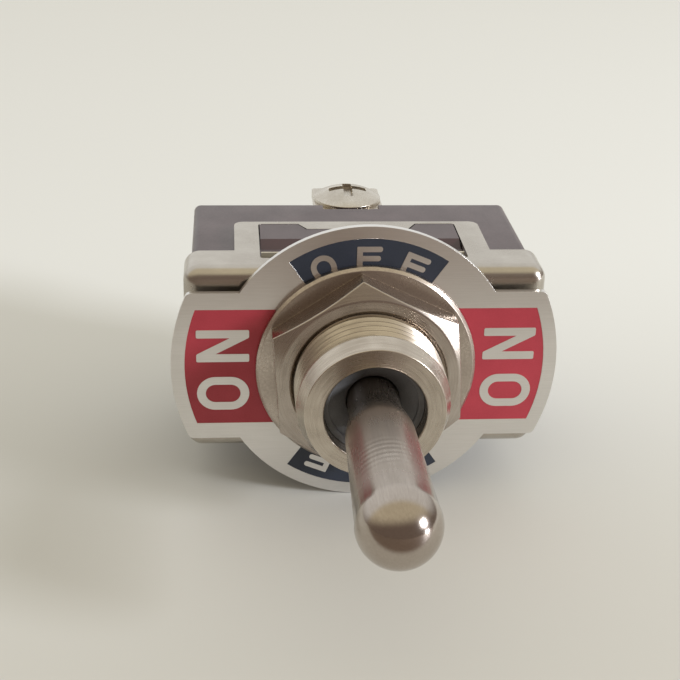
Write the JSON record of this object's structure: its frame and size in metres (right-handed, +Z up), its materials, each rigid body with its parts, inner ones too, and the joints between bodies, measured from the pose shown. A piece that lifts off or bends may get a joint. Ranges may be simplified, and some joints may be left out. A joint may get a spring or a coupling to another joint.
{
  "type": "panel toggle switch",
  "caption": "Centre-off panel toggle switch: turned metal lever, threaded bushing with nut, enamelled ON/OFF legend plate, moulded base and screw terminals.",
  "frame": {"origin": "where the bushing's axis meets the front face of the sheet cover, the seat that bears on the back of a panel", "axes": "-Y along the lever and bushing, out of the panel; X along the long side of the body, the way the lever swings; +Z up, towards the common terminal"},
  "size_m": [0.0312, 0.0497, 0.024],
  "materials": {
    "bakelite": "moulded bakelite, dark maroon brown, half gloss",
    "nickel_cover": "nickel-plated sheet steel",
    "fibre": "pale vulcanised fibre sheet",
    "nickel_bushing": "nickel-plated, turned and threaded",
    "black_seal": "black moulded rubber",
    "pin_steel": "ground steel pin",
    "nickel_lever": "nickel-plated, turned and polished",
    "spring_steel": "spring wire",
    "white_acetal": "turned acetal",
    "contact_brass": "stamped brass",
    "silver_contact": "silver contact rivet",
    "nickel_terminal": "nickel-plated brass strip",
    "nickel_screw": "nickel-plated steel",
    "nickel_washer": "nickel-plated steel washer",
    "plate_metal": "brushed pale metal plate",
    "red_enamel": "red enamel",
    "black_enamel": "blue-black enamel",
    "nickel_nut": "nickel-plated hexagon nut"
  },
  "bodies": {
    "housing": {"base_moulding": "bakelite", "steel_cover": "nickel_cover", "insulating_sheet": "fibre", "bushing": "nickel_bushing", "dust_seal": "black_seal", "pivot_pin": "pin_steel", "fulcrum_saddle": "contact_brass", "terminal_common": "nickel_terminal", "terminal_left": "nickel_terminal", "terminal_right": "nickel_terminal", "fixed_contact_left": "silver_contact", "fixed_contact_right": "silver_contact", "clamp_washer_common": "nickel_screw", "clamp_washer_left": "nickel_screw", "clamp_washer_right": "nickel_screw", "terminal_screw_common": "nickel_screw", "terminal_screw_left": "nickel_screw", "terminal_screw_right": "nickel_screw", "lock_washer": "nickel_washer", "legend_plate": "plate_metal", "on_field_left": "red_enamel", "on_field_right": "red_enamel", "off_field_top": "black_enamel", "off_field_bottom": "black_enamel", "front_washer": "nickel_washer", "front_nut": "nickel_nut"},
    "lever": {"lever": "nickel_lever", "plunger_spring": "spring_steel"},
    "plunger": {"plunger": "white_acetal"},
    "rocker": {"rocker": "contact_brass", "moving_contact_left": "silver_contact", "moving_contact_right": "silver_contact"}
  },
  "joints": [
    {"name": "lever_swing", "type": "hinge", "parent": "housing", "child": "lever", "pos_m": [0, -0.001, 0], "axis": [0, 0, 1], "range_deg": [-11, 11]},
    {"name": "plunger_slide", "type": "slide", "parent": "lever", "child": "plunger", "axis": [0, -1, 0], "range_m": [0, 0.0008], "stiffness_N_per_m": 300, "deforming": ["plunger_spring"]},
    {"name": "rocker_tilt", "type": "hinge", "parent": "housing", "child": "rocker", "pos_m": [0, 0.0106, 0], "axis": [0, 0, 1], "range_deg": [-7.5, 7.5]}
  ],
  "couplings": [
    {"joint": "rocker_tilt", "follows": "lever_swing", "ratio": -0.68182}
  ]
}
